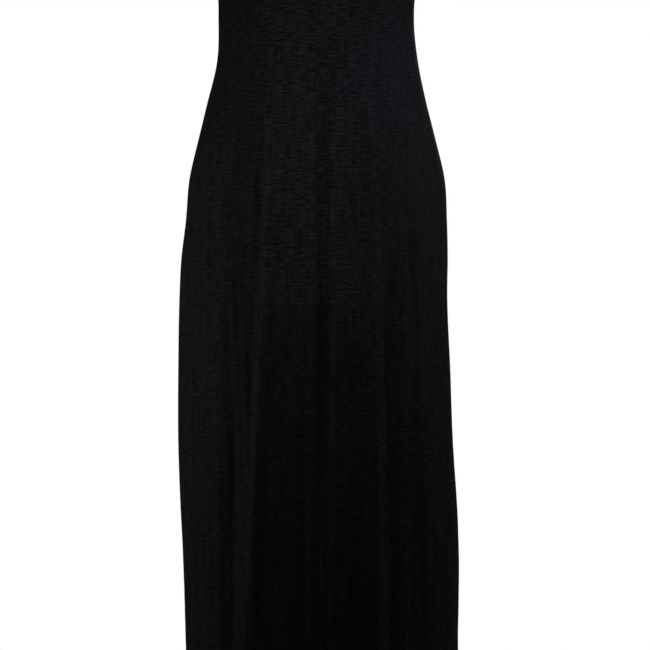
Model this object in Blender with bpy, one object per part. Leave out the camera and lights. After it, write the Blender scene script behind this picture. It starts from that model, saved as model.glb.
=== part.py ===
"""A long slip dress in thin black jersey, in the hollow form that it has when it is worn.

Units are metres and +Z is up. The origin is midway between the two straps, at the height where their
undersides rest on the shoulders. The front faces -Y, and +X is on the right as the front is looked at.

The dress is cut in two front halves joined down the centre front, one back, two straps and a short
lining of a front and a back. Every panel is a wall lofted through sections of a general figure.
"""

from collections import namedtuple
from functools import lru_cache

import bpy
import numpy as np

# Cloth
CLOTH = 0.0016
LINING_CLOTH = 0.0012
SEAM_GAP = 0.0003

# The figure's sections are superellipses, sampled this finely all round.
SECTION_POWER = 2.25
LOOP_SAMPLES = 1201

# Heights
APEX_TOP = -0.172
NECK_POINT = -0.268
SIDE_TOP = -0.245
BACK_TOP = -0.262
WAIST = -0.415
COLUMNS_MEET_FOLDS = -0.560
HIP = -0.620
LINING_HEM = -0.781
HEM = -1.400

# Columns of faces run down the folds, about this far apart at the hip and at least two to a gap.
COLUMN_SPACING = 0.021

# Rows of faces from the top edge to the waist, to the lining's hem and to the hem
BODICE_ROWS = 8
HIP_ROWS = 9
SKIRT_ROWS = 11

# An outer panel is one piece of cloth, and its wall is built in two lengths that meet at this row.
JOIN_ROW = 12

# A strap leaves the front and the back through one column, this share of the way to the side seam.
STRAP_INNER = 0.385
STRAP_OUTER = 0.437
NECK_CURVE = 1.2

# Straps
STRAP_WIDTH = 0.0095
STRAP_THICKNESS = 0.0016
STRAP_TUCK = 0.014
STRAP_ROWS = 34
SHOULDER_CENTRE = (0.070, 0.010, -0.100)

# Bust fullness of each front half
CUP_ARC = 0.084
CUP_HEIGHT = -0.262
CUP_FULLNESS = 0.011
CUP_SPREAD = 0.040
CUP_RISE = 0.046

# Half-widths to each side of the centre line and depths in front of it and behind it.
# The widths below the waist are the outline that the front view shows.
Section = namedtuple("Section", "height left right front back")
SECTIONS = [
    Section(-0.150, 0.136, 0.136, 0.088, 0.092),
    Section(-0.200, 0.146, 0.146, 0.106, 0.098),
    Section(-0.245, 0.151, 0.151, 0.115, 0.100),
    Section(-0.290, 0.150, 0.150, 0.115, 0.096),
    Section(-0.340, 0.138, 0.138, 0.104, 0.088),
    Section(-0.392, 0.1252, 0.1250, 0.096, 0.082),
    Section(-0.415, 0.1248, 0.1240, 0.094, 0.081),
    Section(-0.469, 0.1263, 0.1288, 0.098, 0.090),
    Section(-0.520, 0.1378, 0.1390, 0.105, 0.106),
    Section(-0.571, 0.1505, 0.1518, 0.112, 0.120),
    Section(-0.622, 0.1620, 0.1633, 0.117, 0.129),
    Section(-0.673, 0.1662, 0.1660, 0.120, 0.132),
    Section(-0.724, 0.1722, 0.1671, 0.121, 0.132),
    Section(-0.775, 0.1747, 0.1665, 0.122, 0.132),
    Section(-0.851, 0.1760, 0.1696, 0.124, 0.133),
    Section(-0.953, 0.1760, 0.1735, 0.126, 0.135),
    Section(-1.030, 0.1735, 0.1786, 0.128, 0.137),
    Section(-1.106, 0.1696, 0.1811, 0.130, 0.139),
    Section(-1.220, 0.1660, 0.1798, 0.132, 0.141),
    Section(-1.400, 0.1650, 0.1820, 0.135, 0.145),
]

# The centre-front seam's x, and how far forward of the widest point each side seam has swung
Seams = namedtuple("Seams", "height centre left right")
SEAMS = [
    Seams(-0.150, 0.0, 0.0, 0.0),
    Seams(-0.415, 0.0, 0.0, 0.0),
    Seams(-0.600, 0.0020, 0.0, 0.0),
    Seams(-0.720, 0.0045, 0.0, 0.012),
    Seams(-0.800, 0.0045, 0.0, 0.030),
    Seams(-0.900, 0.0045, 0.0, 0.043),
    Seams(-1.000, 0.0045, 0.008, 0.056),
    Seams(-1.220, 0.0045, 0.030, 0.066),
    Seams(-1.400, 0.0045, 0.036, 0.070),
]

# Each fold runs down the cloth from its x at the hip to its x at the hem, with its own reach to the left
# and to the right. A ridge has a depth above zero and a trough below zero. It grows from start to full
# and dies out from fade to end, which lie below the hem where the fold runs right down to it.
Fold = namedtuple("Fold", "x_hip x_hem start full fade end left right depth")
FOLDS = {
    "front": [
        Fold(-0.118, -0.146, -0.560, -0.900, -1.50, -1.60, 0.020, 0.012, 0.003),
        Fold(-0.076, -0.125, -0.420, -0.900, -1.50, -1.60, 0.022, 0.013, -0.010),
        Fold(-0.058, -0.101, -0.500, -0.800, -1.50, -1.60, 0.007, 0.016, 0.0035),
        Fold(-0.013, -0.013, -0.780, -0.880, -1.05, -1.20, 0.006, 0.005, 0.003),
        Fold(0.003, 0.0045, -0.500, -0.620, -0.85, -1.15, 0.0045, 0.0045, -0.005),
        Fold(0.022, 0.026, -0.700, -0.900, -1.30, -1.60, 0.010, 0.014, 0.002),
        Fold(0.068, 0.090, -0.540, -0.850, -1.50, -1.60, 0.012, 0.008, 0.004),
        Fold(0.088, 0.134, -0.560, -0.850, -1.50, -1.60, 0.012, 0.020, -0.009),
        Fold(0.118, 0.142, -0.620, -0.780, -1.00, -1.25, 0.009, 0.012, 0.0035),
        Fold(0.146, 0.151, -0.850, -1.150, -1.50, -1.60, 0.024, 0.011, 0.006),
    ],
    "back": [
        Fold(-0.130, -0.146, -0.660, -1.000, -1.50, -1.60, 0.019, 0.011, 0.006),
        Fold(-0.100, -0.118, -0.560, -0.950, -1.50, -1.60, 0.012, 0.020, -0.009),
        Fold(-0.074, -0.084, -0.480, -0.820, -1.50, -1.60, 0.018, 0.008, 0.005),
        Fold(-0.034, -0.046, -0.620, -1.100, -1.50, -1.60, 0.023, 0.015, -0.008),
        Fold(-0.014, -0.016, -0.760, -0.900, -1.12, -1.30, 0.006, 0.007, 0.003),
        Fold(0.026, 0.023, -0.520, -0.760, -1.10, -1.55, 0.008, 0.012, -0.007),
        Fold(0.060, 0.072, -0.600, -0.900, -1.50, -1.60, 0.009, 0.017, 0.005),
        Fold(0.088, 0.106, -0.540, -1.000, -1.50, -1.60, 0.022, 0.013, -0.010),
        Fold(0.126, 0.141, -0.700, -1.050, -1.50, -1.60, 0.012, 0.016, 0.006),
    ],
}
# A fold nearer to the centre line than this lies on it.
ON_CENTRE = 0.006

# Points that the underside of the right strap passes through, from the front's top edge to the back's
StrapPoint = namedtuple("StrapPoint", "x y z")
STRAP_ROUTE = [
    StrapPoint(0.0885, -0.0640, -0.110),
    StrapPoint(0.0940, -0.0440, -0.052),
    StrapPoint(0.0980, -0.0220, -0.011),
    StrapPoint(0.0990, 0.0000, 0.000),
    StrapPoint(0.0975, 0.0240, -0.010),
    StrapPoint(0.0930, 0.0520, -0.053),
    StrapPoint(0.0860, 0.0740, -0.120),
    StrapPoint(0.0800, 0.0850, -0.195),
]

MATERIALS = {
    "jersey": ((0.010, 0.010, 0.012), 0.85),
    "lining": ((0.012, 0.012, 0.014), 0.75),
    "strap": ((0.010, 0.010, 0.012), 0.80),
}


def clear_scene():
    for obj in list(bpy.data.objects):
        bpy.data.objects.remove(obj)


def make_material(name):
    colour, roughness = MATERIALS[name]
    material = bpy.data.materials.new(name)
    material.use_nodes = True
    shader = material.node_tree.nodes["Principled BSDF"]
    shader.inputs["Base Color"].default_value = (*colour, 1.0)
    shader.inputs["Roughness"].default_value = roughness
    shader.inputs["Metallic"].default_value = 0.0
    return material


def smoothstep(t):
    t = np.clip(t, 0.0, 1.0)
    return t * t * (3.0 - 2.0 * t)


def through(places, values, at):
    """A smooth curve through values, read at one place or many."""
    places, values = np.asarray(places, float), np.asarray(values, float)
    slopes = np.gradient(values, places, axis=0)
    at = np.clip(at, places[0], places[-1])
    i = np.clip(np.searchsorted(places, at, side="right") - 1, 0, len(places) - 2)
    span = places[i + 1] - places[i]
    t = (at - places[i]) / span
    start = (1 + 2 * t) * (1 - t) ** 2 * values[i] + t * (1 - t) ** 2 * span * slopes[i]
    end = t * t * (3 - 2 * t) * values[i + 1] - t * t * (1 - t) * span * slopes[i + 1]
    return start + end


def read_table(table, height):
    """A row of a table at a height between its rows, on smooth curves down the table."""
    rows = np.array(sorted(table))
    values = through(rows[:, 0], rows[:, 1:], height)
    return type(table[0])(height, *values)


class Ring:
    """The figure's section at one height, with arcs measured all round from one centre line.

    Arcs are positive towards +X. The side is front or back, and it says which centre line is meant.
    """

    def __init__(self, side, height):
        section = read_table(SECTIONS, height)
        seams = read_table(SEAMS, height)
        near, far = (section.front, section.back) if side == "front" else (section.back, section.front)
        turn = np.linspace(-np.pi, np.pi, LOOP_SAMPLES)
        ahead = np.cos(turn)
        power = 2.0 / SECTION_POWER
        outwards = -1.0 if side == "front" else 1.0
        width = np.where(turn < 0, section.left, section.right)
        depth = outwards * np.where(ahead > 0, near, far)
        self.x = width * np.sign(np.sin(turn)) * np.abs(np.sin(turn)) ** power
        self.y = depth * np.sign(ahead) * np.abs(ahead) ** power
        steps = np.hypot(np.diff(self.x), np.diff(self.y))
        run = np.concatenate([[0.0], np.cumsum(steps)])
        self.arc = run - run[LOOP_SAMPLES // 2]
        self.normal_x = -outwards * np.gradient(self.y, self.arc)
        self.normal_y = outwards * np.gradient(self.x, self.arc)
        widest = {-1: self.arc[LOOP_SAMPLES // 4], 1: self.arc[3 * (LOOP_SAMPLES // 4)]}
        forward = 1 if side == "back" else -1
        self.seam = {
            -1: widest[-1] - forward * seams.left,
            1: widest[1] + forward * seams.right,
        }
        self.half_width = {-1: section.left, 1: section.right}
        self.side = side
        self.height = height
        self.centre = self.arc_at_x(seams.centre) if side == "front" else 0.0
        self.fold_arcs = [self.fold_arc(fold) for fold in FOLDS[side]]

    def arc_at_x(self, x):
        near = slice(LOOP_SAMPLES // 4, 3 * (LOOP_SAMPLES // 4) + 1)
        return float(np.interp(x, self.x[near], self.arc[near]))

    def fold_arc(self, fold):
        """Where a fold crosses this height; above the hip the folds draw in with the figure."""
        if abs(fold.x_hip) < ON_CENTRE:
            return self.centre
        down = max((HIP - self.height) / (HIP - HEM), 0.0)
        x = fold.x_hip + (fold.x_hem - fold.x_hip) * down
        if self.height > HIP:
            sign = 1 if x > 0 else -1
            x *= self.half_width[sign] / hip_half_width(sign)
        return self.arc_at_x(x)

    def point(self, arc, lift):
        """The point at an arc, lifted off the figure."""
        x, y = np.interp(arc, self.arc, self.x), np.interp(arc, self.arc, self.y)
        out_x = np.interp(arc, self.arc, self.normal_x)
        out_y = np.interp(arc, self.arc, self.normal_y)
        size = np.hypot(out_x, out_y)
        return np.array([x + lift * out_x / size, y + lift * out_y / size, self.height])

    def cups(self, arc):
        if self.side == "back":
            return 0.0
        across = (abs(arc) - CUP_ARC) / CUP_SPREAD
        up = (self.height - CUP_HEIGHT) / CUP_RISE
        return CUP_FULLNESS * float(np.exp(-(across**2) - up**2))

    def folds(self, arc):
        """How far the folds lift the cloth at an arc, with troughs below zero."""
        total = 0.0
        for fold, place in zip(FOLDS[self.side], self.fold_arcs):
            grown = smoothstep((fold.start - self.height) / (fold.start - fold.full))
            kept = smoothstep((self.height - fold.end) / (fold.fade - fold.end))
            reach = fold.left if arc < place else fold.right
            total += fold.depth * grown * kept * np.exp(-(((arc - place) / reach) ** 2))
        return float(total)

    def deepest_trough(self):
        return min(0.0, *(self.folds(arc) for arc in self.fold_arcs))


@lru_cache(maxsize=None)
def ring_at(side, height):
    return Ring(side, height)


def hip_half_width(sign):
    section = read_table(SECTIONS, HIP)
    return section.left if sign < 0 else section.right


def quarter_keys(ring, sign):
    """The arcs of the centre line, of the folds on one side of it and of the side seam, in order."""
    folds = [
        place
        for fold, place in zip(FOLDS[ring.side], ring.fold_arcs)
        if fold.x_hip * sign > ON_CENTRE
    ]
    return [ring.centre, *sorted(folds, key=abs), ring.seam[sign]]


@lru_cache(maxsize=None)
def quarter_pieces(side, sign):
    """How many columns lie in each gap between the keys, by the size of the gap at the hip."""
    gaps = np.abs(np.diff(quarter_keys(ring_at(side, HIP), sign)))
    return [max(2, round(gap / COLUMN_SPACING)) for gap in gaps]


def quarter_shares(columns):
    """Even shares of the way to the side seam, but for the one narrow column of the strap."""
    inner = round(STRAP_INNER * columns)
    to_strap = np.linspace(0.0, STRAP_INNER, inner + 1)
    to_seam = np.linspace(STRAP_OUTER, 1.0, columns - inner)
    return np.concatenate([to_strap, to_seam])


def quarter_arcs(ring, sign):
    """The arcs of one quarter's columns: even in the bodice and along the folds in the skirt."""
    keys = quarter_keys(ring, sign)
    pieces = quarter_pieces(ring.side, sign)
    along = [np.linspace(a, b, n, endpoint=False) for a, b, n in zip(keys, keys[1:], pieces)]
    shaped = np.concatenate([*along, [keys[-1]]])
    even = ring.centre + quarter_shares(sum(pieces)) * (ring.seam[sign] - ring.centre)
    blend = smoothstep((WAIST - ring.height) / (WAIST - COLUMNS_MEET_FOLDS))
    return even + blend * (shaped - even)


def top_height(side, share):
    """The height of the top edge, a share of the way from the centre line to the side seam."""
    if side == "back":
        return BACK_TOP + (SIDE_TOP - BACK_TOP) * share**2
    if share < STRAP_INNER:
        return NECK_POINT + (APEX_TOP - NECK_POINT) * (share / STRAP_INNER) ** NECK_CURVE
    if share <= STRAP_OUTER:
        return APEX_TOP
    round_arm = (share - STRAP_OUTER) / (1 - STRAP_OUTER)
    return APEX_TOP + (SIDE_TOP - APEX_TOP) * (1 - (1 - round_arm) ** 2)


def column_heights(top):
    """Heights down one column, even in each of the bodice, the hip and the skirt below the lining."""
    bodice = np.linspace(top, WAIST, BODICE_ROWS + 1)
    hip = np.linspace(WAIST, LINING_HEM, HIP_ROWS + 1)
    skirt = np.linspace(LINING_HEM, HEM, SKIRT_ROWS + 1)
    return [float(height) for height in (*bodice, *hip[1:], *skirt[1:])]


def panel_columns(side, signs):
    """The columns of a panel in the order of their x, as their quarter's sign and their index in it."""
    columns = {sign: sum(quarter_pieces(side, sign)) for sign in signs}
    left = [(-1, k) for k in range(columns[-1], 0, -1)] if -1 in signs else []
    right = [(1, k) for k in range(1, columns[1] + 1)] if 1 in signs else []
    return [*left, (signs[0], 0), *right]


def panel_faces(side, signs, lift_of):
    """The outer and inner faces of a panel as grids of points, one column after another.

    The signs name the quarters that it covers: -1 for the left one and 1 for the right one.
    Its first and last columns stop half a seam gap short of their seams.
    """
    outer, inner = [], []
    columns = panel_columns(side, signs)
    for sign, k in columns:
        inset = SEAM_GAP / 2 * (float((sign, k) == columns[0]) - float((sign, k) == columns[-1]))
        share = quarter_shares(sum(quarter_pieces(side, sign)))[k]
        outer_column, inner_column = [], []
        for height in column_heights(top_height(side, share)):
            ring = ring_at(side, height)
            arc = quarter_arcs(ring, sign)[k] + inset
            outer_lift, inner_lift = lift_of(ring, arc)
            outer_column.append(ring.point(arc, outer_lift))
            inner_column.append(ring.point(arc, inner_lift))
        outer.append(outer_column)
        inner.append(inner_column)
    return np.array(outer), np.array(inner)


def add_wall(name, outer, inner, material, collection, runs_left_to_right):
    """One closed wall between two grids of points, with its rim.

    The columns run left to right, or right to left, for a viewer who faces the outer side.
    """
    columns, rows = outer.shape[:2]
    points = np.concatenate([outer.reshape(-1, 3), inner.reshape(-1, 3)])
    below = columns * rows
    at = np.arange(below).reshape(columns, rows)
    faces = []
    for c in range(columns - 1):
        for r in range(rows - 1):
            lower = (at[c, r], at[c, r + 1], at[c + 1, r + 1])
            upper = (at[c, r], at[c + 1, r + 1], at[c + 1, r])
            faces += [lower, upper]
            faces += [tuple(below + i for i in reversed(half)) for half in (lower, upper)]
    edge = [*at[:, 0], *at[-1, 1:], *at[-2::-1, -1], *at[0, -2:0:-1]]
    for i, j in zip(edge, [*edge[1:], edge[0]]):
        faces.append((i, j, below + j, below + i))
    if not runs_left_to_right:
        faces = [tuple(reversed(face)) for face in faces]
    mesh = bpy.data.meshes.new(name)
    mesh.from_pydata([tuple(p) for p in points], [], [tuple(int(i) for i in f) for f in faces])
    mesh.shade_smooth()
    mesh.set_sharp_from_angle(angle=np.radians(60))
    mesh.materials.append(material)
    obj = bpy.data.objects.new(name, mesh)
    collection.objects.link(obj)


def outer_lifts(ring, arc):
    face = ring.cups(arc) + ring.folds(arc)
    return face, face - CLOTH


def lining_lifts(ring, arc):
    """The lining has no folds: it hangs just inside the deepest trough of the outer cloth."""
    face = ring.cups(arc) + ring.deepest_trough() - CLOTH - SEAM_GAP
    return face, face - LINING_CLOTH


def add_panel(name, side, signs, material, collection):
    """The wall of an outer panel in two lengths, with a seam gap between them."""
    faces = panel_faces(side, signs, outer_lifts)
    bodice = [face[:, : JOIN_ROW + 1] for face in faces]
    skirt = [face[:, JOIN_ROW:].copy() for face in faces]
    for face in skirt:
        face[:, 0, 2] -= SEAM_GAP
    for length, (outer, inner) in (("bodice", bodice), ("skirt", skirt)):
        add_wall(f"{name}_{length}", outer, inner, material, collection, side == "front")


def add_lining(name, side, material, collection):
    """The lining is sewn to the turned-in top edge, one row below it, and ends at its own hem."""
    outer, inner = panel_faces(side, (-1, 1), lining_lifts)
    kept = slice(1, BODICE_ROWS + HIP_ROWS + 1)
    add_wall(name, outer[:, kept], inner[:, kept], material, collection, side == "front")


def tucked_stations(side, depths):
    """Places and outward directions of a strap's underside where it lies flat inside a panel's column."""
    top = top_height(side, (STRAP_INNER + STRAP_OUTER) / 2)
    places, outward = [], []
    for depth in depths:
        ring = ring_at(side, float(top - depth))
        arcs = [share * ring.seam[1] for share in (STRAP_INNER, STRAP_OUTER)]
        outer, skin = (
            np.mean([ring.point(arc, ring.cups(arc) + lift) for arc in arcs], axis=0)
            for lift in (0.0, -CLOTH - SEAM_GAP - STRAP_THICKNESS)
        )
        places.append(skin)
        outward.append((outer - skin) / np.linalg.norm(outer - skin))
    return np.array(places), np.array(outward)


def strap_route():
    """The centre line of the right strap's underside, and the direction off the figure along it."""
    depths = np.array([STRAP_TUCK, STRAP_TUCK / 2, 0.0])
    front, front_out = tucked_stations("front", depths)
    back, back_out = tucked_stations("back", depths[::-1])
    route = np.array(STRAP_ROUTE)
    route_out = route - np.array(SHOULDER_CENTRE)
    route_out /= np.linalg.norm(route_out, axis=1)[:, None]
    stations = np.concatenate([front, route, back])
    directions = np.concatenate([front_out, route_out, back_out])
    along = np.concatenate([[0.0], np.cumsum(np.linalg.norm(np.diff(stations, axis=0), axis=1))])
    at = np.linspace(0, along[-1], STRAP_ROWS + 1)
    line = np.array([through(along, stations, place) for place in at])
    outward = np.array([through(along, directions, place) for place in at])
    return line, outward


def add_strap(name, side_sign, material, collection):
    """A flat strap with its width across its route and its thickness off the figure."""
    line, outward = strap_route()
    tangent = np.gradient(line, axis=0)
    across = np.cross(tangent, outward)
    across /= np.linalg.norm(across, axis=1)[:, None]
    lift = np.cross(across, tangent)
    lift *= STRAP_THICKNESS / np.linalg.norm(lift, axis=1)[:, None]
    half = STRAP_WIDTH / 2 * across
    inner = np.stack([line - half, line + half])
    outer = inner + lift
    mirror = np.array([side_sign, 1.0, 1.0])
    add_wall(name, outer * mirror, inner * mirror, material, collection, side_sign < 0)


def main():
    clear_scene()
    collection = bpy.data.collections.new("slip_dress")
    bpy.context.scene.collection.children.link(collection)
    materials = {name: make_material(name) for name in MATERIALS}
    add_panel("front_left", "front", (-1,), materials["jersey"], collection)
    add_panel("front_right", "front", (1,), materials["jersey"], collection)
    add_panel("back", "back", (-1, 1), materials["jersey"], collection)
    add_lining("lining_front", "front", materials["lining"], collection)
    add_lining("lining_back", "back", materials["lining"], collection)
    add_strap("strap_left", -1, materials["strap"], collection)
    add_strap("strap_right", 1, materials["strap"], collection)


main()
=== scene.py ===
"""The finished look of the slip dress: shells of thin black slub jersey on the form of its solids.

Units are metres and +Z is up. The front faces -Y, and +X is on the right as the front is looked at.
Each shell takes the place of its solid, or of both lengths of an outer panel. Its cloth coordinates are
the distance round the figure and the height, so the weave, the streaks and the stitches keep their real
size.
"""

from collections import namedtuple

import bpy
import numpy as np
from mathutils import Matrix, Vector


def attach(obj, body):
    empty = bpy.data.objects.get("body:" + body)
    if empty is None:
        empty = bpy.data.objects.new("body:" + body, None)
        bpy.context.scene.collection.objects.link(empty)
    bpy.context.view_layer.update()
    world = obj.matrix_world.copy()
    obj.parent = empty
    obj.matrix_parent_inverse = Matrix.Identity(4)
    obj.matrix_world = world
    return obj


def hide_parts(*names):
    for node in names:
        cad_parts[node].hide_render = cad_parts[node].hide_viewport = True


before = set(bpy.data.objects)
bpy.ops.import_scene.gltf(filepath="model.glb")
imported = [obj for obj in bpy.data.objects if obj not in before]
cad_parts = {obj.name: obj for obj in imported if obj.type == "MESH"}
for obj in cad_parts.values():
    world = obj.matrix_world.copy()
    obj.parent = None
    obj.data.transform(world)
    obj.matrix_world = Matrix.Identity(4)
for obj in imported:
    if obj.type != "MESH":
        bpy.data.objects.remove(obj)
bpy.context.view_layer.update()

# Form. The sections, seams, straps and back folds are the solids' own. The folds of the front are
# tuned further here, so its cloth lies up to 10 mm from the solids' in places.

SECTION_POWER = 2.25
LOOP_SAMPLES = 1201
SEAM_GAP = 0.0003
CLOTH = 0.0016

APEX_TOP = -0.172
NECK_POINT = -0.268
SIDE_TOP = -0.245
BACK_TOP = -0.262
WAIST = -0.415
COLUMNS_MEET_FOLDS = -0.560
HIP = -0.620
LINING_HEM = -0.781
HEM = -1.400

COLUMN_SPACING = 0.021
STRAP_INNER = 0.385
STRAP_OUTER = 0.437
NECK_CURVE = 1.2

STRAP_WIDTH = 0.0095
STRAP_THICKNESS = 0.0016
STRAP_TUCK = 0.014
SHOULDER_CENTRE = (0.070, 0.010, -0.100)

CUP_ARC = 0.084
CUP_HEIGHT = -0.262
CUP_FULLNESS = 0.011
CUP_SPREAD = 0.040
CUP_RISE = 0.046

Section = namedtuple("Section", "height left right front back")
SECTIONS = [
    Section(-0.150, 0.136, 0.136, 0.088, 0.092),
    Section(-0.200, 0.146, 0.146, 0.106, 0.098),
    Section(-0.245, 0.151, 0.151, 0.115, 0.100),
    Section(-0.290, 0.150, 0.150, 0.115, 0.096),
    Section(-0.340, 0.138, 0.138, 0.104, 0.088),
    Section(-0.392, 0.1252, 0.1250, 0.096, 0.082),
    Section(-0.415, 0.1248, 0.1240, 0.094, 0.081),
    Section(-0.469, 0.1263, 0.1288, 0.098, 0.090),
    Section(-0.520, 0.1378, 0.1390, 0.105, 0.106),
    Section(-0.571, 0.1505, 0.1518, 0.112, 0.120),
    Section(-0.622, 0.1620, 0.1633, 0.117, 0.129),
    Section(-0.673, 0.1662, 0.1660, 0.120, 0.132),
    Section(-0.724, 0.1722, 0.1671, 0.121, 0.132),
    Section(-0.775, 0.1747, 0.1665, 0.122, 0.132),
    Section(-0.851, 0.1760, 0.1696, 0.124, 0.133),
    Section(-0.953, 0.1760, 0.1735, 0.126, 0.135),
    Section(-1.030, 0.1735, 0.1786, 0.128, 0.137),
    Section(-1.106, 0.1696, 0.1811, 0.130, 0.139),
    Section(-1.220, 0.1660, 0.1798, 0.132, 0.141),
    Section(-1.400, 0.1650, 0.1820, 0.135, 0.145),
]

Seams = namedtuple("Seams", "height centre left right")
SEAMS = [
    Seams(-0.150, 0.0, 0.0, 0.0),
    Seams(-0.415, 0.0, 0.0, 0.0),
    Seams(-0.600, 0.0020, 0.0, 0.0),
    Seams(-0.720, 0.0045, 0.0, 0.012),
    Seams(-0.800, 0.0045, 0.0, 0.030),
    Seams(-0.900, 0.0045, 0.0, 0.043),
    Seams(-1.000, 0.0045, 0.008, 0.056),
    Seams(-1.220, 0.0045, 0.030, 0.066),
    Seams(-1.400, 0.0045, 0.036, 0.070),
]

Fold = namedtuple("Fold", "x_hip x_hem start full fade end left right depth")
FOLDS = {
    "front": [
        Fold(-0.113, -0.129, -0.520, -0.680, -0.80, -1.10, 0.010, 0.013, 0.0040),
        Fold(-0.096, -0.112, -0.840, -1.020, -1.10, -2.00, 0.011, 0.010, -0.0055),
        Fold(-0.070, -0.104, -0.420, -0.720, -0.84, -1.04, 0.007, 0.012, -0.0015),
        Fold(-0.056, -0.095, -0.500, -0.670, -0.80, -1.90, 0.006, 0.012, 0.0060),
        Fold(-0.0175, -0.0180, -0.820, -0.960, -1.15, -1.32, 0.004, 0.0055, -0.0032),
        Fold(0.0045, 0.0045, -0.450, -0.540, -0.70, -1.15, 0.0055, 0.0090, -0.0060),
        Fold(0.022, 0.026, -0.700, -0.900, -1.30, -1.60, 0.010, 0.014, 0.002),
        Fold(0.070, 0.078, -0.680, -0.840, -1.50, -1.60, 0.014, 0.008, 0.0065),
        Fold(0.086, 0.098, -0.660, -0.800, -1.05, -2.00, 0.009, 0.014, -0.0080),
        Fold(0.108, 0.126, -0.840, -1.080, -1.50, -1.60, 0.012, 0.020, -0.005),
        Fold(0.124, 0.144, -0.620, -0.780, -0.98, -1.16, 0.009, 0.012, 0.0035),
        Fold(0.146, 0.155, -0.850, -1.120, -1.50, -1.60, 0.014, 0.008, 0.002),
    ],
    "back": [
        Fold(-0.130, -0.146, -0.660, -1.000, -1.50, -1.60, 0.019, 0.011, 0.006),
        Fold(-0.100, -0.118, -0.560, -0.950, -1.50, -1.60, 0.012, 0.020, -0.009),
        Fold(-0.074, -0.084, -0.480, -0.820, -1.50, -1.60, 0.018, 0.008, 0.005),
        Fold(-0.034, -0.046, -0.620, -1.100, -1.50, -1.60, 0.023, 0.015, -0.008),
        Fold(-0.014, -0.016, -0.760, -0.900, -1.12, -1.30, 0.006, 0.007, 0.003),
        Fold(0.026, 0.023, -0.520, -0.760, -1.10, -1.55, 0.008, 0.012, -0.007),
        Fold(0.060, 0.072, -0.600, -0.900, -1.50, -1.60, 0.009, 0.017, 0.005),
        Fold(0.088, 0.106, -0.540, -1.000, -1.50, -1.60, 0.022, 0.013, -0.010),
        Fold(0.126, 0.141, -0.700, -1.050, -1.50, -1.60, 0.012, 0.016, 0.006),
    ],
}
ON_CENTRE = 0.006

StrapPoint = namedtuple("StrapPoint", "x y z")
STRAP_ROUTE = [
    StrapPoint(0.0885, -0.0640, -0.110),
    StrapPoint(0.0940, -0.0440, -0.052),
    StrapPoint(0.0980, -0.0220, -0.011),
    StrapPoint(0.0990, 0.0000, 0.000),
    StrapPoint(0.0975, 0.0240, -0.010),
    StrapPoint(0.0930, 0.0520, -0.053),
    StrapPoint(0.0860, 0.0740, -0.120),
    StrapPoint(0.0800, 0.0850, -0.195),
]

# Fineness of the shells

COLUMNS_EACH = 10
LINING_COLUMNS_EACH = 4
RING_STEP = 0.0025
BODICE_ROWS = 40
HIP_ROWS = 60
SKIRT_ROWS = 76
LINING_ROW_SHARE = 0.5
LINING_START = 1 / 8
LINING_SAMPLES = 400
STRAP_SAMPLES = 240
STRAP_SIDES = 28
EDGE_STATIONS = 70
HEM_STATIONS = 260
SHELL_THICKNESS = 0.0008
LINING_THICKNESS = 0.0005

# Creases finer than the folds: x at the top and at the bottom, and a depth above zero for a ridge
Crease = namedtuple("Crease", "side x_top x_foot top foot spread depth")
CREASES = [
    Crease("front", -0.104, -0.116, -0.370, -0.600, 0.0060, -0.0020),
    Crease("front", -0.070, -0.108, -0.390, -0.680, 0.0110, 0.0042),
    Crease("front", -0.061, -0.074, -0.410, -0.700, 0.0055, -0.0022),
    Crease("front", -0.096, -0.105, -0.640, -0.820, 0.0048, 0.0022),
    Crease("front", 0.0062, 0.0062, -0.350, -0.530, 0.0050, 0.0014),
    Crease("front", 0.0115, 0.0125, -0.440, -1.020, 0.0070, -0.0060),
    Crease("front", 0.062, 0.078, -0.500, -0.820, 0.0060, 0.0036),
    Crease("front", -0.044, -0.047, -0.500, -0.760, 0.0060, -0.0009),
    Crease("front", -0.030, -0.030, -0.880, -1.180, 0.0050, -0.0009),
    Crease("front", 0.032, 0.036, -0.500, -0.760, 0.0060, -0.0011),
    Crease("front", 0.054, 0.058, -0.560, -0.780, 0.0055, -0.0010),
    Crease("front", 0.112, 0.124, -0.640, -0.830, 0.0042, -0.0024),
    Crease("front", 0.106, 0.118, -0.860, -1.060, 0.0050, 0.0010),
    Crease("back", -0.070, -0.082, -0.580, -1.300, 0.0050, 0.0014),
    Crease("back", -0.020, -0.030, -0.440, -0.640, 0.0065, 0.0014),
    Crease("back", 0.044, 0.046, -0.500, -0.800, 0.0060, -0.0012),
    Crease("back", 0.058, 0.068, -0.620, -1.300, 0.0048, 0.0013),
    Crease("back", 0.104, 0.116, -0.460, -0.700, 0.0055, -0.0015),
]

# The share of a crease's length in which it fades in, and again out
CREASE_FADE = 0.22

# Ripples in the cloth as it hangs: how many waves, and their size, widths, lengths and slant
RIPPLES = 46
RIPPLE_DEPTH = 0.00084
RIPPLE_WIDTHS = (0.010, 0.040)
RIPPLE_LENGTHS = (0.10, 0.60)
RIPPLE_SLANT = 0.05
RIPPLE_SWAY = 0.4
BODICE_RIPPLES = 0.35
RIPPLES_GROW_OVER = 0.25

# Seams and turned edges
SEAM_DIP = 0.0002
SEAM_DIP_WIDTH = 0.0010
SEAM_RIDGE = 0.0004
SEAM_RIDGE_WIDTH = 0.0040
EDGE_TURN = 0.008
EDGE_RISE = 0.0004
HEM_TURN = 0.022
HEM_STEP = 0.0030
SIDE_SEAM_CALM = 0.010

# Stitches
STITCH_LENGTH = 0.0026
STITCH_PITCH = 0.0036
STITCH_RADIUS = 0.00022
STITCH_SIDES = 5
STITCH_STANDS_OUT = 0.35
HEM_STITCHES_BELOW_TURN = (0.002, 0.006)

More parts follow.
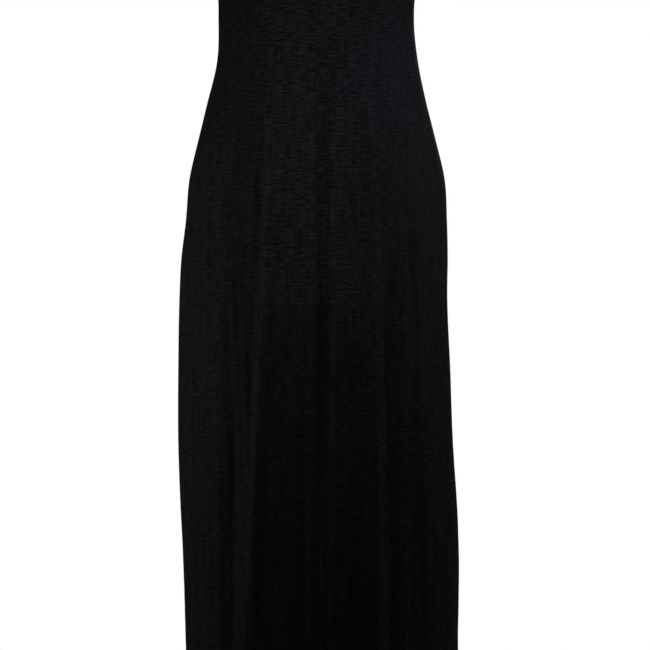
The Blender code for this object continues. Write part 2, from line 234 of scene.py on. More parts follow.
# The strap's rounding, its sewn lines, and its cloth's width as a share of its own
STRAP_EDGE_POWER = 0.55
STRAP_FACE_POWER = 0.75
STRAP_SEWN_DIP = 0.35
STRAP_SEWN_INSET = 0.0016
STRAP_SEWN_WIDTH = 0.0007

# Colours of the cloth, and where the lining lightens the front: x at the start and end of each edge
JERSEY_TINT = (0.0072, 0.0072, 0.0086)
LINING_TINT = (0.010, 0.010, 0.012)
LINING_SHOWS_LEFT = (-0.098, -0.044)
LINING_SHOWS_RIGHT = (0.000, 0.104)
LINING_EDGE_BLUR = 0.0012

# Camera and light
CAMERA_PLACE = (0.0108, -4.146, -0.8066)
CAMERA_LENS = 180.0
CAMERA_SENSOR = 36.0
FLOOR_HEIGHT = -1.460
FLOOR_RADIUS = 2.3
FLOOR_TONE = 0.15
FLOOR_GLOW = 0.84
BACKGROUND = 1.0
AMBIENT = 0.070


# Curves and the figure's sections


def smoothstep(t):
    t = np.clip(t, 0.0, 1.0)
    return t * t * (3.0 - 2.0 * t)


def bump(distance, width):
    return np.exp(-((distance / width) ** 2))


def through(places, values, at):
    """A smooth curve through values, read at one place."""
    places, values = np.asarray(places, float), np.asarray(values, float)
    slopes = np.gradient(values, places, axis=0)
    at = np.clip(at, places[0], places[-1])
    i = np.clip(np.searchsorted(places, at, side="right") - 1, 0, len(places) - 2)
    span = places[i + 1] - places[i]
    t = (at - places[i]) / span
    start = (1 + 2 * t) * (1 - t) ** 2 * values[i] + t * (1 - t) ** 2 * span * slopes[i]
    end = t * t * (3 - 2 * t) * values[i + 1] - t * t * (1 - t) * span * slopes[i + 1]
    return start + end


def lengths_along(points):
    steps = np.linalg.norm(np.diff(points, axis=0), axis=1)
    return np.concatenate([[0.0], np.cumsum(steps)])


def unit_rows(vectors):
    return vectors / np.linalg.norm(vectors, axis=1)[:, None]


def read_table(table, height):
    rows = np.array(sorted(table))
    values = through(rows[:, 0], rows[:, 1:], height)
    return type(table[0])(height, *values)


HIP_SECTION = read_table(SECTIONS, HIP)
HIP_HALF_WIDTH = {-1: HIP_SECTION.left, 1: HIP_SECTION.right}


class Ring:
    """The figure's section at one height, with arcs measured all round from one centre line."""

    def __init__(self, side, height):
        section = read_table(SECTIONS, height)
        seams = read_table(SEAMS, height)
        near, far = (section.front, section.back) if side == "front" else (section.back, section.front)
        turn = np.linspace(-np.pi, np.pi, LOOP_SAMPLES)
        ahead = np.cos(turn)
        power = 2.0 / SECTION_POWER
        outwards = -1.0 if side == "front" else 1.0
        width = np.where(turn < 0, section.left, section.right)
        depth = outwards * np.where(ahead > 0, near, far)
        self.x = width * np.sign(np.sin(turn)) * np.abs(np.sin(turn)) ** power
        self.y = depth * np.sign(ahead) * np.abs(ahead) ** power
        run = np.concatenate([[0.0], np.cumsum(np.hypot(np.diff(self.x), np.diff(self.y)))])
        self.arc = run - run[LOOP_SAMPLES // 2]
        self.normal_x = -outwards * np.gradient(self.y, self.arc)
        self.normal_y = outwards * np.gradient(self.x, self.arc)
        widest = {-1: self.arc[LOOP_SAMPLES // 4], 1: self.arc[3 * (LOOP_SAMPLES // 4)]}
        forward = 1 if side == "back" else -1
        self.seam = {
            -1: widest[-1] - forward * seams.left,
            1: widest[1] + forward * seams.right,
        }
        self.half_width = {-1: section.left, 1: section.right}
        self.side = side
        self.height = height
        self.centre = self.arc_at_x(seams.centre) if side == "front" else 0.0
        self.fold_arcs = [self.fold_arc(fold) for fold in FOLDS[side]]

    def arc_at_x(self, x):
        near = slice(LOOP_SAMPLES // 4, 3 * (LOOP_SAMPLES // 4) + 1)
        return float(np.interp(x, self.x[near], self.arc[near]))

    def fold_arc(self, fold):
        if abs(fold.x_hip) < ON_CENTRE:
            return self.centre
        down = max((HIP - self.height) / (HIP - HEM), 0.0)
        x = fold.x_hip + (fold.x_hem - fold.x_hip) * down
        if self.height > HIP:
            sign = 1 if x > 0 else -1
            x *= self.half_width[sign] / HIP_HALF_WIDTH[sign]
        return self.arc_at_x(x)

    def points(self, arcs, lifts):
        """The points at some arcs, each lifted off the figure."""
        x, y = np.interp(arcs, self.arc, self.x), np.interp(arcs, self.arc, self.y)
        out_x = np.interp(arcs, self.arc, self.normal_x)
        out_y = np.interp(arcs, self.arc, self.normal_y)
        size = np.hypot(out_x, out_y)
        heights = np.full(np.shape(arcs), self.height)
        return np.stack([x + lifts * out_x / size, y + lifts * out_y / size, heights], axis=-1)

    def cups(self, arcs):
        if self.side == "back":
            return np.zeros(np.shape(arcs))
        up = (self.height - CUP_HEIGHT) / CUP_RISE
        return CUP_FULLNESS * bump(np.abs(arcs) - CUP_ARC, CUP_SPREAD) * np.exp(-(up**2))

    def folds(self, arcs):
        total = np.zeros(np.shape(arcs))
        for fold, place in zip(FOLDS[self.side], self.fold_arcs):
            grown = smoothstep((fold.start - self.height) / (fold.start - fold.full))
            kept = smoothstep((self.height - fold.end) / (fold.fade - fold.end))
            reach = np.where(arcs < place, fold.left, fold.right)
            total += fold.depth * grown * kept * bump(arcs - place, reach)
        return total


def quarter_keys(ring, sign):
    folds = [
        place
        for fold, place in zip(FOLDS[ring.side], ring.fold_arcs)
        if fold.x_hip * sign > ON_CENTRE
    ]
    return [ring.centre, *sorted(folds, key=abs), ring.seam[sign]]


def quarter_pieces(side, sign):
    gaps = np.abs(np.diff(quarter_keys(Ring(side, HIP), sign)))
    return [max(2, round(gap / COLUMN_SPACING)) for gap in gaps]


PIECES = {(side, sign): quarter_pieces(side, sign) for side in ("front", "back") for sign in (-1, 1)}


def quarter_shares(columns):
    inner = round(STRAP_INNER * columns)
    to_strap = np.linspace(0.0, STRAP_INNER, inner + 1)
    to_seam = np.linspace(STRAP_OUTER, 1.0, columns - inner)
    return np.concatenate([to_strap, to_seam])


def quarter_arcs(ring, sign):
    """The arcs of one quarter's columns: even in the bodice and along the folds in the skirt."""
    keys = quarter_keys(ring, sign)
    pieces = PIECES[ring.side, sign]
    along = [np.linspace(a, b, n, endpoint=False) for a, b, n in zip(keys, keys[1:], pieces)]
    shaped = np.concatenate([*along, [keys[-1]]])
    even = ring.centre + quarter_shares(sum(pieces)) * (ring.seam[sign] - ring.centre)
    blend = smoothstep((WAIST - ring.height) / (WAIST - COLUMNS_MEET_FOLDS))
    return even + blend * (shaped - even)


def refined(values, each):
    """Each gap of a list of values in equal parts."""
    count = len(values) - 1
    return np.interp(np.linspace(0, count, count * each + 1), np.arange(count + 1), values)


def top_height(side, share):
    if side == "back":
        return BACK_TOP + (SIDE_TOP - BACK_TOP) * share**2
    if share < STRAP_INNER:
        return NECK_POINT + (APEX_TOP - NECK_POINT) * (share / STRAP_INNER) ** NECK_CURVE
    if share <= STRAP_OUTER:
        return APEX_TOP
    round_arm = (share - STRAP_OUTER) / (1 - STRAP_OUTER)
    return APEX_TOP + (SIDE_TOP - APEX_TOP) * (1 - (1 - round_arm) ** 2)


# Fine relief of the cloth


def make_ripples(side):
    """Long soft waves that run down the cloth, each with its own width, length and place."""
    rng = np.random.default_rng(11 if side == "front" else 12)
    widths = rng.uniform(*RIPPLE_WIDTHS, RIPPLES)
    lengths = rng.uniform(*RIPPLE_LENGTHS, RIPPLES)
    phases = rng.uniform(0.0, 2 * np.pi, (RIPPLES, 2))
    slants = rng.normal(0.0, RIPPLE_SLANT, RIPPLES)
    return list(zip(widths, lengths, phases[:, 0], phases[:, 1], slants))


RIPPLE_WAVES = {side: make_ripples(side) for side in ("front", "back")}


def ripples(side, arcs, height):
    total = np.zeros(np.shape(arcs))
    for width, length, across, along, slant in RIPPLE_WAVES[side]:
        sway = np.sin(2 * np.pi * height / length + along)
        wave = np.sin(2 * np.pi * (arcs + slant * height) / width + across)
        total += wave * (1 - RIPPLE_SWAY + RIPPLE_SWAY * sway)
    skirt = BODICE_RIPPLES + (1 - BODICE_RIPPLES) * smoothstep((WAIST - height) / RIPPLES_GROW_OVER)
    return RIPPLE_DEPTH * skirt * total / np.sqrt(RIPPLES)


def creases(ring, arcs):
    total = np.zeros(np.shape(arcs))
    for crease in CREASES:
        if crease.side != ring.side or not crease.foot < ring.height < crease.top:
            continue
        down = (crease.top - ring.height) / (crease.top - crease.foot)
        place = ring.arc_at_x(crease.x_top + (crease.x_foot - crease.x_top) * down)
        fade = smoothstep(down / CREASE_FADE) * smoothstep((1.0 - down) / CREASE_FADE)
        total += crease.depth * fade * bump(arcs - place, crease.spread)
    return total


def seam_relief(ring, arcs):
    """Seams dip at the stitching, between soft ridges where the turned edges lie inside."""
    total = np.zeros(np.shape(arcs))
    lines = [ring.seam[-1], ring.seam[1]] + ([ring.centre] if ring.side == "front" else [])
    for line in lines:
        off = arcs - line
        total += SEAM_RIDGE * bump(off, SEAM_RIDGE_WIDTH) - SEAM_DIP * bump(off, SEAM_DIP_WIDTH)
    return total


def hem_relief(height):
    return EDGE_RISE * smoothstep((HEM + HEM_TURN + HEM_STEP / 2 - height) / HEM_STEP)


# Shells


def fine_relief(ring, arcs):
    """Creases and ripples that die out at the side seams, and the relief of the seams and of the hem."""
    fine = creases(ring, arcs) + ripples(ring.side, arcs, ring.height)
    calm = 1.0 - sum(bump(arcs - ring.seam[sign], SIDE_SEAM_CALM) for sign in (-1, 1))
    return fine * np.clip(calm, 0.0, 1.0) + seam_relief(ring, arcs) + hem_relief(ring.height)


def outer_lift(ring, arcs):
    return ring.cups(arcs) + ring.folds(arcs) + fine_relief(ring, arcs)


def lining_lift(ring, arcs):
    """The lining hangs just inside the deepest trough or crease of the outer cloth."""
    around = np.linspace(ring.seam[-1], ring.seam[1], LINING_SAMPLES)
    deepest = min(0.0, float(np.min(ring.folds(around) + fine_relief(ring, around))))
    return ring.cups(arcs) + deepest - CLOTH - SEAM_GAP


def panel_arcs(ring, signs, each):
    """The arcs of a panel's columns in the order of their x."""
    left = refined(quarter_arcs(ring, -1), each)[::-1] if -1 in signs else None
    right = refined(quarter_arcs(ring, 1), each) if 1 in signs else None
    if left is None or right is None:
        return left if right is None else right
    return np.concatenate([left, right[1:]])


def panel_shares(side, signs, each):
    left = refined(quarter_shares(sum(PIECES[side, -1])), each)[::-1]
    right = refined(quarter_shares(sum(PIECES[side, 1])), each)
    if signs == (-1,):
        return left
    return right if signs == (1,) else np.concatenate([left, right[1:]])


def column_heights(top, first, rows):
    """Heights down one column. A lining starts a part of the way from the top edge to the waist."""
    bodice = np.linspace(top + (WAIST - top) * first, WAIST, rows[0] + 1)
    hip = np.linspace(WAIST, LINING_HEM, rows[1] + 1)[1:]
    skirt = np.linspace(LINING_HEM, HEM, rows[2] + 1)[1:] if rows[2] else []
    return np.concatenate([bodice, hip, skirt])


def panel_grid(side, signs, each, first, rows, lift_of):
    """The points of a shell and its cloth coordinates, column after column."""
    ring_heights = np.arange(HEM, APEX_TOP + RING_STEP, RING_STEP)
    rings = [Ring(side, height) for height in ring_heights]
    arcs = np.array([panel_arcs(ring, signs, each) for ring in rings])
    places = np.array([ring.points(row, lift_of(ring, row)) for ring, row in zip(rings, arcs)])
    points, cloth = [], []
    for k, share in enumerate(panel_shares(side, signs, each)):
        heights = column_heights(top_height(side, share), first, rows)
        x, y, around = (
            np.interp(heights, ring_heights, values)
            for values in (places[:, k, 0], places[:, k, 1], arcs[:, k])
        )
        points.append(np.stack([x, y, heights], axis=1))
        cloth.append(np.stack([around, heights], axis=1))
    return np.array(points), np.array(cloth)


def new_object(name, data):
    obj = bpy.data.objects.new(name, data)
    bpy.context.scene.collection.objects.link(obj)
    return obj


def grid_mesh(name, points, cloth, runs_left_to_right):
    columns, rows = points.shape[:2]
    at = np.arange(columns * rows).reshape(columns, rows)
    quads = np.stack([at[:-1, :-1], at[:-1, 1:], at[1:, 1:], at[1:, :-1]], axis=-1).reshape(-1, 4)
    if not runs_left_to_right:
        quads = quads[:, ::-1]
    mesh = bpy.data.meshes.new(name)
    mesh.from_pydata(points.reshape(-1, 3).tolist(), [], quads.tolist())
    layer = mesh.uv_layers.new(name="cloth")
    corners = cloth.reshape(-1, 2)[quads.ravel()]
    layer.data.foreach_set("uv", corners.astype(np.float32).ravel())
    mesh.shade_smooth()
    return new_object(name, mesh)


def thicken(obj, thickness):
    solid = obj.modifiers.new("cloth_thickness", "SOLIDIFY")
    solid.thickness = thickness
    solid.offset = -1.0
    solid.use_even_offset = False
    return obj


def dress_piece(obj, nodes, material):
    """Puts a finished piece on the dress in place of some of its solids, or in place of none."""
    obj.data.materials.append(material)
    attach(obj, "root")
    if nodes:
        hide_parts(*nodes)
    return obj


# Materials


def new_material(name):
    material = bpy.data.materials.new(name)
    material.use_nodes = True
    tree = material.node_tree
    tree.nodes.clear()
    return material, tree


class Nodes:
    """Short calls for building a node tree."""

    def __init__(self, tree):
        self.tree = tree

    def add(self, kind, **settings):
        node = self.tree.nodes.new(kind)
        inputs = settings.pop("inputs", {})
        for key, value in settings.items():
            setattr(node, key, value)
        for key, value in inputs.items():
            if isinstance(value, bpy.types.NodeSocket):
                self.tree.links.new(value, node.inputs[key])
            else:
                node.inputs[key].default_value = value
        return node

    def maths(self, operation, a, b):
        return self.add("ShaderNodeMath", operation=operation, inputs={0: a, 1: b}).outputs[0]

    def span(self, value, low, high, to_low, to_high, smooth=False):
        kind = "SMOOTHSTEP" if smooth else "LINEAR"
        node = self.add(
            "ShaderNodeMapRange",
            interpolation_type=kind,
            inputs={"Value": value, "From Min": low, "From Max": high, "To Min": to_low, "To Max": to_high},
        )
        return node.outputs["Result"]

    def noise(self, vector, scale, detail, roughness=0.5):
        node = self.add(
            "ShaderNodeTexNoise",
            inputs={"Vector": vector, "Scale": scale, "Detail": detail, "Roughness": roughness},
        )
        return node.outputs["Fac"]

    def stretch(self, vector, x, y, shift=0.0):
        node = self.add(
            "ShaderNodeMapping", inputs={"Vector": vector, "Scale": (x, y, 1), "Location": (shift, shift, 0)}
        )
        return node.outputs["Vector"]

    def surface(self, shader):
        self.add("ShaderNodeOutputMaterial", inputs={"Surface": shader.outputs["BSDF"]})


def jersey_material(name, tint, show_lining):
    """Black slub jersey: fine ribs of knit, thick and thin yarn in level streaks, and a soft nap."""
    material, tree = new_material(name)
    n = Nodes(tree)
    cloth = n.add("ShaderNodeUVMap", uv_map="cloth").outputs["UV"]
    place = n.add("ShaderNodeTexCoord").outputs["Object"]
    split = n.add("ShaderNodeSeparateXYZ", inputs={"Vector": place})
    x, z = split.outputs["X"], split.outputs["Z"]

    # Slub streaks 5 to 15 mm long and 1 to 3 mm thick at two sizes, and finer upright streaks
    long_streaks = n.noise(n.stretch(cloth, 75.0, 420.0), 1.0, 2.0, 0.55)
    short_streaks = n.noise(n.stretch(cloth, 170.0, 640.0, shift=7.3), 1.0, 1.0, 0.5)
    upright = n.noise(n.stretch(cloth, 420.0, 24.0, shift=5.7), 1.0, 1.0, 0.5)
    patches = n.noise(n.stretch(cloth, 14.0, 9.0, shift=3.1), 1.0, 3.0, 0.55)
    streaks = n.maths("ADD", n.maths("MULTIPLY", long_streaks, 0.6), n.maths("MULTIPLY", short_streaks, 0.4))
    slub = n.span(streaks, 0.40, 0.64, 0.0, 1.0)
    level = n.span(slub, 0.0, 1.0, -0.55, 0.85)
    even = n.maths("MULTIPLY", n.span(patches, 0.3, 0.7, 0.90, 1.10), n.span(upright, 0.3, 0.7, 0.75, 1.25))

    # Fine columns of knit, 1.6 mm apart
    ribs = n.add(
        "ShaderNodeTexWave",
        wave_type="BANDS",
        bands_direction="X",
        inputs={"Vector": cloth, "Scale": 200.0, "Distortion": 1.2, "Detail": 1.0, "Detail Scale": 2.0},
    ).outputs["Fac"]

    strength = 0.8
    if show_lining:
        # The lining lies close behind the middle of the front as far as its hem. It lightens the cloth
        # and makes the streaks plainer.
        above = n.span(z, LINING_HEM - LINING_EDGE_BLUR, LINING_HEM + LINING_EDGE_BLUR, 0.0, 1.0)
        left = n.span(x, *LINING_SHOWS_LEFT, 0.0, 1.0, smooth=True)
        right = n.span(x, *LINING_SHOWS_RIGHT, 1.0, 0.0, smooth=True)
        behind = n.maths("MULTIPLY", above, n.maths("MULTIPLY", left, right))
        even = n.maths("MULTIPLY", even, n.span(behind, 0.0, 1.0, 0.92, 1.20))
        strength = n.span(behind, 0.0, 1.0, 0.68, 0.95)
    tone = n.maths("MULTIPLY", even, n.maths("ADD", n.maths("MULTIPLY", level, strength), 1.0))

    colour = n.add("ShaderNodeMix", data_type="RGBA", blend_type="MULTIPLY")
    colour.inputs[0].default_value = 1.0
    colour.inputs[6].default_value = (*tint, 1.0)
    grey = n.add("ShaderNodeCombineColor", inputs={"Red": tone, "Green": tone, "Blue": tone})
    tree.links.new(grey.outputs["Color"], colour.inputs[7])

    relief = n.maths("ADD", n.maths("MULTIPLY", slub, 0.75), n.maths("MULTIPLY", ribs, 0.25))
    raised = n.add("ShaderNodeBump", inputs={"Strength": 0.5, "Distance": 0.00035, "Height": relief})
    shader = n.add(
        "ShaderNodeBsdfPrincipled",
        inputs={
            "Base Color": colour.outputs[2],
            "Roughness": n.span(slub, 0.0, 1.0, 0.92, 0.70),
            "Normal": raised.outputs["Normal"],
        },
    )
    shader.inputs["Specular IOR Level"].default_value = 0.04
    shader.inputs["Sheen Weight"].default_value = 0.006
    shader.inputs["Sheen Roughness"].default_value = 0.45
    shader.inputs["Sheen Tint"].default_value = (0.86, 0.88, 1.0, 1.0)
    n.surface(shader)
    return material


def lining_material(name):
    """A smooth, fine knit with a slight lustre."""
    material, tree = new_material(name)
    n = Nodes(tree)
    cloth = n.add("ShaderNodeUVMap", uv_map="cloth").outputs["UV"]
    mottle = n.noise(n.stretch(cloth, 60.0, 90.0), 1.0, 3.0, 0.6)
    ribs = n.add(
        "ShaderNodeTexWave", wave_type="BANDS", bands_direction="X", inputs={"Vector": cloth, "Scale": 260.0}
    ).outputs["Fac"]
    tone = n.span(mottle, 0.3, 0.7, 0.85, 1.15)
    parts = zip(("Red", "Green", "Blue"), LINING_TINT)
    inks = {part: n.maths("MULTIPLY", tone, amount) for part, amount in parts}
    colour = n.add("ShaderNodeCombineColor", inputs=inks)
    raised = n.add("ShaderNodeBump", inputs={"Strength": 0.35, "Distance": 0.0002, "Height": ribs})
    shader = n.add(
        "ShaderNodeBsdfPrincipled",
        inputs={
            "Base Color": colour.outputs["Color"],
            "Roughness": n.span(mottle, 0.3, 0.7, 0.55, 0.70),
            "Normal": raised.outputs["Normal"],
        },
    )
    shader.inputs["Specular IOR Level"].default_value = 0.25
    shader.inputs["Sheen Weight"].default_value = 0.01
    n.surface(shader)
    return material


def thread_material(name):
    material, tree = new_material(name)
    n = Nodes(tree)
    place = n.add("ShaderNodeTexCoord").outputs["Object"]
    twist = n.noise(place, 3000.0, 1.0)
    tone = n.span(twist, 0.3, 0.7, 0.012, 0.022)
    colour = n.add("ShaderNodeCombineColor", inputs={"Red": tone, "Green": tone, "Blue": tone})
    shader = n.add(
        "ShaderNodeBsdfPrincipled", inputs={"Base Color": colour.outputs["Color"], "Roughness": 0.6}
    )
    shader.inputs["Specular IOR Level"].default_value = 0.3
    n.surface(shader)
    return material


JERSEY = jersey_material("slub_jersey", JERSEY_TINT, show_lining=False)
FRONT_JERSEY = jersey_material("slub_jersey_over_lining", JERSEY_TINT, show_lining=True)
LINING = lining_material("lining_knit")
THREAD = thread_material("sewing_thread")

# Panels

OUTER_ROWS = (BODICE_ROWS, HIP_ROWS, SKIRT_ROWS)
LINING_ROWS = (round(BODICE_ROWS * LINING_ROW_SHARE), round(HIP_ROWS * LINING_ROW_SHARE), 0)

Panel = namedtuple("Panel", "name nodes side signs material width length area hangs_from")
PANELS = [
    Panel(
        "front_left", ["front_left_bodice", "front_left_skirt"], "front", (-1,), FRONT_JERSEY,
        0.30, 1.24, 0.30, ["strap_left"],
    ),
    Panel(
        "front_right", ["front_right_bodice", "front_right_skirt"], "front", (1,), FRONT_JERSEY,
        0.30, 1.24, 0.28, ["strap_right"],
    ),
    Panel(
        "back", ["back_bodice", "back_skirt"], "back", (-1, 1), JERSEY,
        0.66, 1.17, 0.60, ["strap_left", "strap_right"],
    ),
]
LININGS = [
    Panel(
        "lining_front", ["lining_front"], "front", (-1, 1), LINING,
        0.48, 0.60, 0.23, ["front_left", "front_right"],
    ),
    Panel("lining_back", ["lining_back"], "back", (-1, 1), LINING, 0.50, 0.53, 0.23, ["back"]),
]


def make_panel(panel, each, first, rows, lift_of, thickness):
    points, cloth = panel_grid(panel.side, panel.signs, each, first, rows, lift_of)
    obj = thicken(grid_mesh(f"{panel.name}_cloth", points, cloth, panel.side == "front"), thickness)
    return dress_piece(obj, panel.nodes, panel.material)


# Straps


def tucked_stations(side, depths):
    top = top_height(side, (STRAP_INNER + STRAP_OUTER) / 2)
    places, outward = [], []
    for depth in depths:
        ring = Ring(side, top - depth)
        arcs = np.array([STRAP_INNER, STRAP_OUTER]) * ring.seam[1]
        outer = ring.points(arcs, ring.cups(arcs)).mean(axis=0)
        inset = CLOTH + SEAM_GAP + STRAP_THICKNESS
        skin = ring.points(arcs, ring.cups(arcs) - inset).mean(axis=0)
        places.append(skin)
        outward.append((outer - skin) / np.linalg.norm(outer - skin))
    return np.array(places), np.array(outward)


def strap_line():
    """The centre line of the right strap's underside, and the direction off the figure along it."""
    depths = np.array([STRAP_TUCK, STRAP_TUCK / 2, 0.0])
    front, front_out = tucked_stations("front", depths)
    back, back_out = tucked_stations("back", depths[::-1])
    route = np.array(STRAP_ROUTE)
    route_out = unit_rows(route - np.array(SHOULDER_CENTRE))
    stations = np.concatenate([front, route, back])
    directions = np.concatenate([front_out, route_out, back_out])
    along = lengths_along(stations)
    at = np.linspace(0, along[-1], STRAP_SAMPLES + 1)
    line = np.array([through(along, stations, place) for place in at])
    outward = np.array([through(along, directions, place) for place in at])
    return line, outward, along[-1]


def make_strap(name, sign):
    """A narrow tube of jersey pressed flat, with rounded edges and a sewn line along each edge."""
    line, outward, length = strap_line()
    tangent = np.gradient(line, axis=0)
    across = unit_rows(np.cross(tangent, outward))
    lift = unit_rows(np.cross(across, tangent))
    turn = np.linspace(0.0, 2 * np.pi, STRAP_SIDES, endpoint=False)
    half_width, half_depth = STRAP_WIDTH / 2, STRAP_THICKNESS / 2
    wide = half_width * np.sign(np.cos(turn)) * np.abs(np.cos(turn)) ** STRAP_EDGE_POWER
    deep = half_depth * np.sign(np.sin(turn)) * np.abs(np.sin(turn)) ** STRAP_FACE_POWER
    deep *= 1.0 - STRAP_SEWN_DIP * bump(np.abs(wide) - half_width + STRAP_SEWN_INSET, STRAP_SEWN_WIDTH)
    centre = line + lift * half_depth
    beside = across[:, None, :] * wide[None, :, None]
    above = lift[:, None, :] * deep[None, :, None]
    rings = (centre[:, None, :] + beside + above) * np.array([sign, 1.0, 1.0])
    rows, sides = rings.shape[:2]
    at = np.arange(rows * sides).reshape(rows, sides)
    after = np.roll(at, -1, axis=1)
    quads = np.stack([at[:-1], after[:-1], after[1:], at[1:]], axis=-1).reshape(-1, 4).tolist()
    faces = quads + [at[0][::-1].tolist(), at[-1].tolist()]
    if sign > 0:
        faces = [face[::-1] for face in faces]
    mesh = bpy.data.meshes.new(name)
    mesh.from_pydata(rings.reshape(-1, 3).tolist(), [], faces)
    along = np.repeat(np.linspace(0.0, length, rows), sides)
    round_strap = np.tile(np.linspace(0.0, 2 * STRAP_WIDTH, sides), rows)
    layer = mesh.uv_layers.new(name="cloth")
    corner = np.zeros(len(mesh.loops), np.int32)
    mesh.loops.foreach_get("vertex_index", corner)
    cloth = np.stack([round_strap[corner], along[corner]], axis=1)
    layer.data.foreach_set("uv", cloth.astype(np.float32).ravel())
    mesh.shade_smooth()
    mesh.set_sharp_from_angle(angle=np.radians(60))
    return new_object(name, mesh), length


# Stitches


def stitch_mesh(name, runs):
    """Small dashes of thread along runs of surface points, each run with the outward direction."""
    points, faces = [], []
    for run, out in runs:
        along = lengths_along(run)
        for start in np.arange(0.0, along[-1] - STITCH_LENGTH, STITCH_PITCH):
            ends = [np.array([np.interp(at, along, run[:, k]) for k in range(3)])
                    for at in (start, start + STITCH_LENGTH)]
            normal = np.array([np.interp(start, along, out[:, k]) for k in range(3)])
            way = ends[1] - ends[0]
            way /= np.linalg.norm(way)
            beside = np.cross(way, normal)
            beside /= np.linalg.norm(beside)
            first = len(points)
            points.append(ends[0] - normal * STITCH_RADIUS)
            for share in (0.25, 0.75):
                centre = ends[0] + (ends[1] - ends[0]) * share + normal * STITCH_RADIUS * STITCH_STANDS_OUT
                for k in range(STITCH_SIDES):
                    turn = 2 * np.pi * k / STITCH_SIDES
                    points.append(centre + STITCH_RADIUS * (np.cos(turn) * beside + np.sin(turn) * normal))
            points.append(ends[1] - normal * STITCH_RADIUS)
            last = len(points) - 1
            for k in range(STITCH_SIDES):
                a, b = first + 1 + k, first + 1 + (k + 1) % STITCH_SIDES
                faces.append((first, b, a))
                faces.append((a, b, b + STITCH_SIDES, a + STITCH_SIDES))
                faces.append((last, a + STITCH_SIDES, b + STITCH_SIDES))
    mesh = bpy.data.meshes.new(name)
    mesh.from_pydata([tuple(p) for p in points], [], faces)
    mesh.shade_smooth()
    return new_object(name, mesh)


def surface_run(side, stations, lift_of):
    """Points and outward directions on a shell along stations of (height, arc)."""
    places, outward = [], []
    for height, arc in stations:
        ring = Ring(side, height)
        arcs = np.array([arc])
        lift = lift_of(ring, arcs)
        foot = ring.points(arcs, lift)[0]
        places.append(foot)
        outward.append(ring.points(arcs, lift + 1.0)[0] - foot)
    return np.array(places), np.array(outward)


def edge_stations(side, signs, below):
    """Stations along a panel's top edge, some way below it."""
    stations = []
    for sign in signs:
        for share in np.linspace(0.0, 1.0, EDGE_STATIONS):
            height = top_height(side, share) - below
            ring = Ring(side, height)
            stations.append((sign * share, height, ring.centre + share * (ring.seam[sign] - ring.centre)))
    stations.sort()
    return [(height, arc) for _, height, arc in stations]


def hem_stations(side, signs, above):
    ring = Ring(side, HEM + above)
    ends = (ring.seam[-1] if -1 in signs else ring.centre, ring.seam[1] if 1 in signs else ring.centre)
    return [(HEM + above, arc) for arc in np.linspace(*ends, HEM_STATIONS)]


def panel_stitches(panel):
    runs = [surface_run(panel.side, edge_stations(panel.side, panel.signs, EDGE_TURN), outer_lift)]
    for below in HEM_STITCHES_BELOW_TURN:
        stations = hem_stations(panel.side, panel.signs, HEM_TURN - below)
        runs.append(surface_run(panel.side, stations, outer_lift))
    return stitch_mesh(f"{panel.name}_stitches", runs)


# Building the dress

for strap_name, strap_sign in (("strap_left", -1), ("strap_right", 1)):
    strap, strap_length = make_strap(f"{strap_name}_cloth", strap_sign)
    dress_piece(strap, [strap_name], JERSEY)

for panel in PANELS:
    shell = make_panel(panel, COLUMNS_EACH, 0.0, OUTER_ROWS, outer_lift, SHELL_THICKNESS)
    stitches = dress_piece(panel_stitches(panel), None, THREAD)

for panel in LININGS:
    shell = make_panel(
        panel, LINING_COLUMNS_EACH, LINING_START, LINING_ROWS, lining_lift, LINING_THICKNESS
    )


# Floor, light and camera


def make_floor():
    """A floor that looks pale and throws almost no light up at the black cloth."""
    bpy.ops.mesh.primitive_circle_add(
        vertices=128, radius=FLOOR_RADIUS, fill_type="NGON", location=(0.0, 0.0, FLOOR_HEIGHT)
    )
    floor = bpy.context.object
    floor.name = "floor"
    material, tree = new_material("pale_floor")
    n = Nodes(tree)
    grey = (FLOOR_TONE, FLOOR_TONE, FLOOR_TONE, 1.0)
    shader = n.add("ShaderNodeBsdfPrincipled", inputs={"Base Color": grey, "Roughness": 0.9})
    seen = n.add("ShaderNodeLightPath").outputs["Is Camera Ray"]
    shader.inputs["Emission Color"].default_value = (1.0, 1.0, 1.0, 1.0)
    tree.links.new(n.maths("MULTIPLY", seen, FLOOR_GLOW), shader.inputs["Emission Strength"])
    n.surface(shader)
    floor.data.materials.append(material)


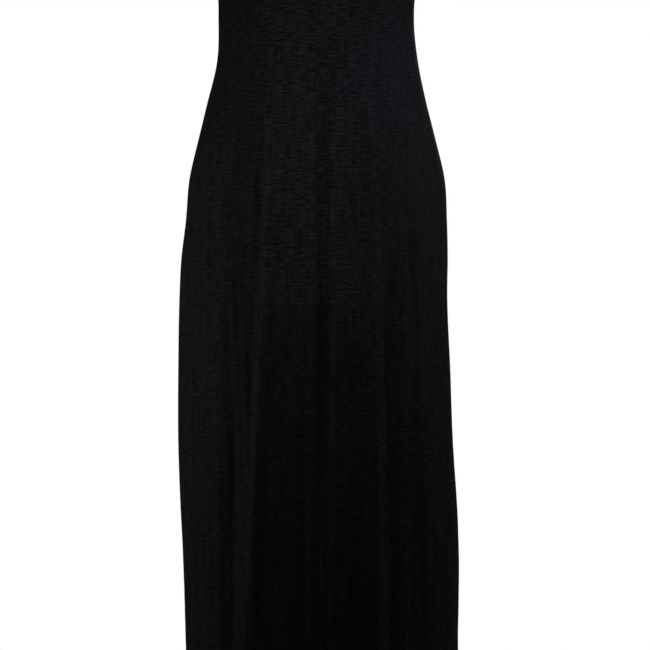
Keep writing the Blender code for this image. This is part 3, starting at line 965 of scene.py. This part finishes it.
# Narrow beams on the bodice and the hip leave the skirt dimmer. The cool one gives the bluish strip high
# on the right.
Lamp = namedtuple("Lamp", "name place target size spread power colour")
LAMPS = [
    Lamp("bodice", (0.12, -1.60, 0.00), (0.04, -0.10, -0.44), 0.3, 0.66, 0.34, (1.0, 1.0, 1.0)),
    Lamp("front", (-0.80, -1.40, -0.35), (0.02, -0.10, -0.76), 0.3, 0.82, 0.42, (1.0, 1.0, 1.0)),
    Lamp("left", (-1.45, -0.22, -0.90), (0.0, 0.0, -0.88), 0.6, 1.20, 1.3, (1.0, 1.0, 1.0)),
    Lamp("right", (1.45, -0.22, -0.40), (0.0, 0.0, -0.80), 0.8, np.pi, 7.7, (1.0, 1.0, 1.0)),
    Lamp("hip", (1.30, -0.70, -0.10), (0.12, -0.08, -0.56), 0.2, 0.40, 0.070, (0.96, 0.93, 1.12)),
    Lamp("cool", (1.10, -1.10, 0.00), (0.115, -0.08, -0.49), 0.06, 0.12, 0.008, (0.25, 0.25, 1.00)),
    Lamp("rear", (0.30, 1.90, 0.30), (0.0, 0.0, -0.60), 1.4, np.pi, 9.0, (1.0, 1.0, 1.0)),
]


def make_lamps():
    for lamp in LAMPS:
        light = bpy.data.lights.new(lamp.name, "AREA")
        light.shape = "SQUARE"
        light.size = lamp.size
        light.spread = lamp.spread
        light.energy = lamp.power
        light.color = lamp.colour
        obj = new_object(lamp.name, light)
        obj.location = lamp.place
        aim = Vector(lamp.target) - Vector(lamp.place)
        obj.rotation_euler = aim.to_track_quat("-Z", "Y").to_euler()
        obj.visible_camera = False


def make_world():
    """White behind the dress, and a dim even light from all round."""
    world = bpy.data.worlds.new("studio")
    world.use_nodes = True
    tree = world.node_tree
    tree.nodes.clear()
    n = Nodes(tree)
    seen = n.add("ShaderNodeLightPath").outputs["Is Camera Ray"]
    white = n.add("ShaderNodeBackground", inputs={"Color": (1, 1, 1, 1), "Strength": BACKGROUND})
    dim = n.add("ShaderNodeBackground", inputs={"Color": (1, 1, 1, 1), "Strength": AMBIENT})
    mix = n.add("ShaderNodeMixShader")
    tree.links.new(seen, mix.inputs["Fac"])
    tree.links.new(dim.outputs["Background"], mix.inputs[1])
    tree.links.new(white.outputs["Background"], mix.inputs[2])
    output = n.add("ShaderNodeOutputWorld")
    tree.links.new(mix.outputs["Shader"], output.inputs["Surface"])
    bpy.context.scene.world = world


def make_camera():
    camera = bpy.data.cameras.new("camera")
    camera.lens = CAMERA_LENS
    camera.sensor_width = CAMERA_SENSOR
    obj = new_object("camera", camera)
    obj.location = CAMERA_PLACE
    obj.rotation_euler = (np.pi / 2, 0.0, 0.0)
    bpy.context.scene.camera = obj


make_floor()
make_lamps()
make_world()
make_camera()
bpy.context.scene.view_settings.view_transform = "Standard"
